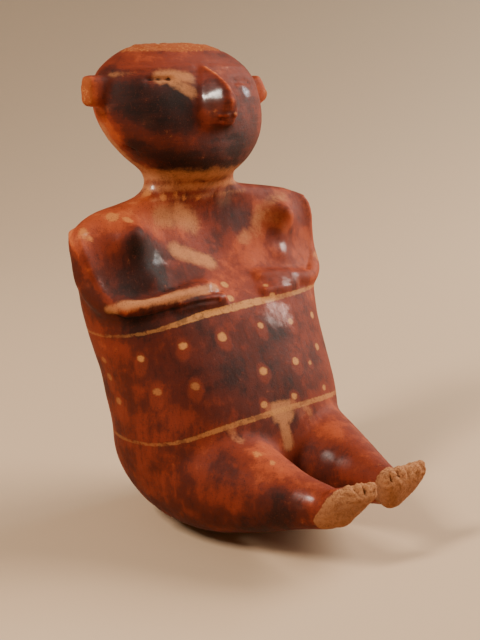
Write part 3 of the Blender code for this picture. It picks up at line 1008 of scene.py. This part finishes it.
def with_paint(finish, clouds, colour):
    """The cream lines and dots, and the red ghosts under the dots."""
    wander = swing(clouds.fine, LINE_RAGGED)
    line = 1 - finish.step(finish.kept("line_gap") + wander, *LINE_LIMITS)
    rubbed = finish.step(clouds.middle, *LINE_WEAR_LIMITS) * (1 - LINE_LEAST) + LINE_LEAST
    line = line * rubbed * finish.kept("line_strength")
    ghost = 1 - finish.step(finish.kept("dot_ghost") + swing(clouds.middle, GHOST_RAGGED), *GHOST_LIMITS)
    colour = finish.over(colour, GHOST_RED, ghost * GHOST_STRENGTH)
    edge = finish.kept("dot_gap") + wander * DOT_WANDER + swing(clouds.middle, DOT_RAGGED)
    dot = (1 - finish.step(edge, *DOT_LIMITS)) * finish.kept("dot_strength")
    return finish.over(colour, CREAM, finish.sum("MAXIMUM", line, dot) * PAINT_STRENGTH)


def with_worn_rims(finish, clouds, colour, worn):
    colour = finish.over(colour, WORN_RIM, worn * WORN_STRENGTH)
    specks = finish.step(clouds.blend(SPECKS), *SPECK_LIMITS)
    return finish.over(colour, OCHRE, worn * specks * SPECK_STRENGTH)


def with_bare_feet(finish, clouds, colour, bare):
    sand = finish.step(clouds.blend(SAND), *SAND_LIMITS) * finish.kept("coarseness")
    return finish.over(colour, finish.over(BARE_DARK, BARE_CLAY, sand), bare)


def set_gloss(finish, clouds, dull, tan_share):
    """Polished patches shine; the rest is dull, and the bare clay is the dullest."""
    shine = finish.step(finish.kept("polish") + swing(clouds.blend(MOTTLE), SHINE_RAGGED), *SHINE_LIMITS)
    roughness = PLAIN_ROUGHNESS - shine * SHINE_SMOOTHER + swing(clouds.fine, FINE_ROUGHNESS)
    roughness = roughness + dull * DULL_ROUGHER + tan_share * TAN_ROUGHER
    finish.set(finish.shader, "Roughness", roughness)
    finish.set(finish.shader, "IOR", CLAY_IOR)
    finish.set(finish.shader, "Coat Weight", shine * BURNISH_WEIGHT)
    finish.set(finish.shader, "Coat Roughness", BURNISH_ROUGHNESS)


def set_relief(finish, clouds, dull):
    """Burnishing strokes and pits, and the grain of the bare clay."""
    height = clouds.blend(SLIP_RELIEF) + dull * clouds.blend(BARE_RELIEF)
    values = {"Height": height, "Distance": RELIEF_DEPTH * MM, "Strength": RELIEF_STRENGTH}
    bump = finish.node("ShaderNodeBump", {}, values)
    finish.set(finish.shader, "Normal", Reading(finish, bump.outputs[0]))


def burnished_clay():
    finish = Finish("burnished_clay")
    clouds = Clouds(finish)
    tan_share = thin_slip(finish, clouds)
    patchy = clouds.blend(PATCHY)
    worn = finish.step(finish.kept("worn_edge") + swing(patchy, WORN_RAGGED), *WORN_LIMITS)
    bare = finish.step(finish.kept("bare_clay") + swing(patchy, BARE_RAGGED), *BARE_LIMITS)
    dull = finish.sum("MAXIMUM", bare, worn * WORN_DULLNESS)
    colour = slip_colour(finish, clouds)
    colour = finish.over(colour, TAN, tan_share * TAN_STRENGTH)
    colour = with_ochre(finish, clouds, colour)
    colour = with_paint(finish, clouds, colour)
    colour = finish.over(colour, SOOT, clouds.pits * PIT_STRENGTH)
    colour = with_worn_rims(finish, clouds, colour, worn)
    colour = with_bare_feet(finish, clouds, colour, bare)
    finish.set(finish.shader, "Base Color", colour)
    set_gloss(finish, clouds, dull, tan_share)
    set_relief(finish, clouds, dull)
    return finish.material


def studio_floor():
    """A pale seamless sheet: a round floor that curves up into a wall on every side."""
    bpy.ops.object.select_all(action="DESELECT")
    bpy.ops.mesh.primitive_circle_add(vertices=FLOOR_SIDES, radius=FLOOR_RADIUS, fill_type="NGON")
    floor = bpy.context.object
    floor.name = "studio_floor"
    bpy.ops.object.mode_set(mode="EDIT")
    bpy.ops.mesh.select_mode(type="EDGE")
    radius, height = FLOOR_RADIUS, 0.0
    for angle in np.radians(np.linspace(0, 90, CURVE_STEPS + 1)[1:]):
        wider = (FLOOR_RADIUS + WALL_CURVE * math.sin(angle)) / radius
        higher = WALL_CURVE * (1 - math.cos(angle)) - height
        bpy.ops.mesh.select_all(action="DESELECT")
        bpy.ops.mesh.select_non_manifold(extend=False)
        bpy.ops.mesh.extrude_edges_move(TRANSFORM_OT_translate={"value": (0, 0, higher)})
        bpy.ops.transform.resize(value=(wider, wider, 1))
        radius, height = radius * wider, height + higher
    bpy.ops.mesh.extrude_edges_move(TRANSFORM_OT_translate={"value": (0, 0, WALL_HEIGHT)})
    bpy.ops.mesh.select_all(action="SELECT")
    bpy.ops.mesh.normals_make_consistent(inside=True)
    bpy.ops.object.mode_set(mode="OBJECT")
    bpy.ops.object.shade_smooth()
    sheet = Finish("studio_sheet")
    sheet.set(sheet.shader, "Base Color", FLOOR_COLOUR)
    sheet.set(sheet.shader, "Roughness", FLOOR_ROUGHNESS)
    floor.data.materials.append(sheet.material)


def soft_box(name, aim, azimuth, tilt, away, size, power, colour):
    """A soft box that faces a place from a compass direction; azimuth 0 is the figure's front."""
    across, up = math.radians(azimuth), math.radians(tilt)
    outward = Vector((math.sin(across) * math.cos(up), -math.cos(across) * math.cos(up), math.sin(up)))
    data = bpy.data.lights.new(name, "AREA")
    data.shape = "RECTANGLE"
    data.size, data.size_y = size
    data.energy = power
    data.color = colour
    box = bpy.data.objects.new(name, data)
    box.location = Vector(aim) + outward * away
    box.rotation_euler = outward.to_track_quat("Z", "Y").to_euler()
    bpy.context.scene.collection.objects.link(box)


def studio_light():
    for box in SOFT_BOXES:
        soft_box(*box)
    room = bpy.data.worlds.new("soft_room")
    room.use_nodes = True
    room.node_tree.nodes["Background"].inputs["Color"].default_value = ROOM_COLOUR
    room.node_tree.nodes["Background"].inputs["Strength"].default_value = ROOM_STRENGTH
    bpy.context.scene.world = room


def camera():
    data = bpy.data.cameras.new("camera")
    data.lens = CAMERA_LENS
    eye = bpy.data.objects.new("camera", data)
    eye.location = CAMERA_PLACE
    eye.rotation_euler = (math.radians(90 - CAMERA_TILT), 0, math.radians(CAMERA_AZIMUTH))
    bpy.context.scene.collection.objects.link(eye)
    bpy.context.scene.camera = eye


def figurine():
    clay = clay_form()
    refine(clay)
    keep_marks(clay, model_by_hand(clay))
    clay.data.materials.append(burnished_clay())
    clay.data.shade_smooth()
    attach(clay, "root")
    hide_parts("seated_figurine")


camera()
studio_floor()
studio_light()
figurine()
